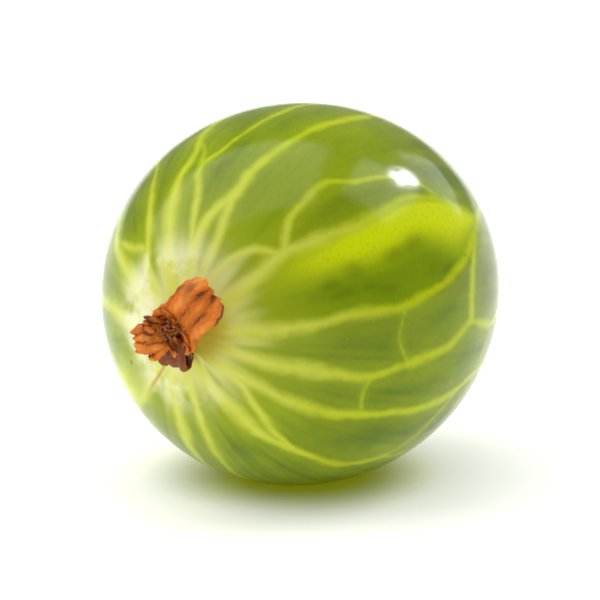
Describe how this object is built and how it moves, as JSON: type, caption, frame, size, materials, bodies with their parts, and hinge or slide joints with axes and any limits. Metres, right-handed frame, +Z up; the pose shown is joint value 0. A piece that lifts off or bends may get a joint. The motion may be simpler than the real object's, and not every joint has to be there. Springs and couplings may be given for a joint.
{
  "type": "gooseberry",
  "caption": "Ripe green gooseberry as picked, lying on its side, with pale veins under a glossy skin, a dried brown flower at the blossom end and a short green stalk at the other.",
  "frame": {"origin": "middle of the small flat spot that the berry rests on", "axes": "+Z up, +X along the fruit towards the stalk, so the blossom end with the dried flower points to -X and lies a few degrees higher"},
  "size_m": [0.0307, 0.0206, 0.0201],
  "materials": {
    "berry_skin": "smooth, glossy, translucent green fruit skin with pale yellow-green veins",
    "dried_flower": "dry, crumpled, matt orange-brown flower leaf, darker in the folds",
    "stalk": "satin green stalk, pale tan where it broke off"
  },
  "bodies": {
    "root": {"berry": "berry_skin", "dried_flower": "dried_flower", "stalk": "stalk"}
  },
  "joints": []
}
